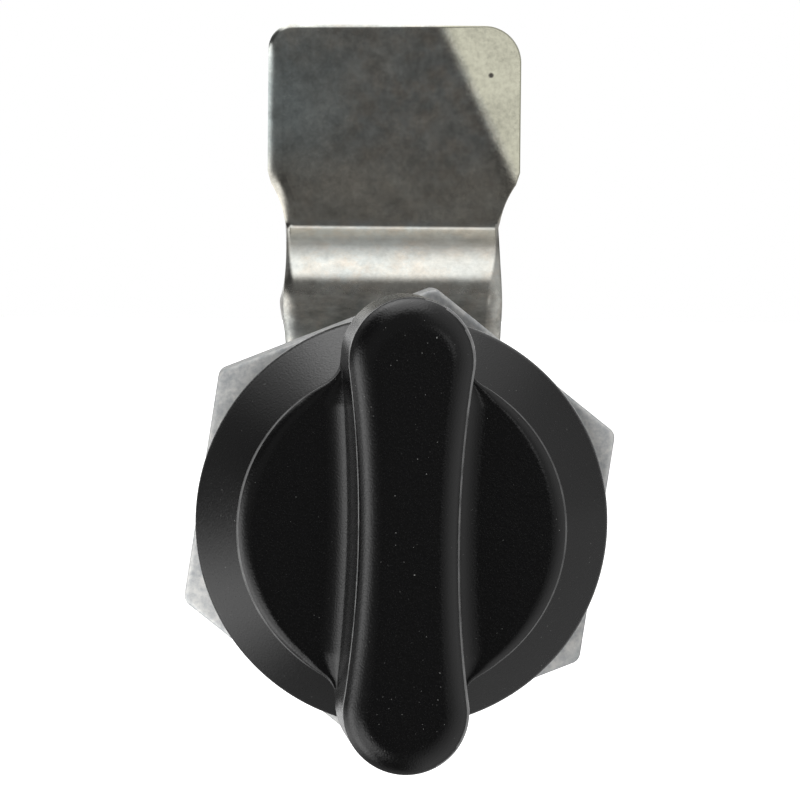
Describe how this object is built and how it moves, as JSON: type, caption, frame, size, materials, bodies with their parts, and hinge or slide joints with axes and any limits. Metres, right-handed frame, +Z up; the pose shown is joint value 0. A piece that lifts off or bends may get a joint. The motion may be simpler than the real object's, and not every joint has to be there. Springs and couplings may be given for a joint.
{
  "type": "quarter-turn cam latch",
  "caption": "Quarter-turn cam latch with a black wing knob on a round cone head, a threaded barrel with a hex nut, and a cranked zinc cam behind the panel.",
  "frame": {"origin": "on the lock's axis, in the plane of the panel's front face, which is the gasket's back face", "axes": "+Y along the lock's axis into the cabinet, with the knob towards -Y; +Z up along the cam in its rest pose; +X to the right seen from the front"},
  "size_m": [0.0294, 0.0417, 0.0502],
  "materials": {
    "black_coat": "black powder coat, semi-gloss, fine orange peel",
    "rubber": "matt black",
    "zinc_cast": "mottled zinc, satin",
    "zinc_plate": "clear zinc plate, bright with a faint tint",
    "spring_steel": "dark phosphated spring steel"
  },
  "bodies": {
    "housing": {"housing": "black_coat", "head_gasket": "rubber", "fixing_nut": "zinc_cast"},
    "knob": {"wing_knob": "black_coat", "spindle": "zinc_plate", "seal_ring": "rubber", "wave_washer": "spring_steel", "retaining_ring": "spring_steel", "cam": "zinc_plate", "cam_washer": "zinc_plate", "spring_washer": "zinc_plate", "cam_screw": "zinc_plate"}
  },
  "joints": [
    {"name": "knob_turn", "type": "hinge", "parent": "housing", "child": "knob", "pos_m": [0, 0, 0], "axis": [0, 1, 0], "range_deg": [0, 90]}
  ]
}
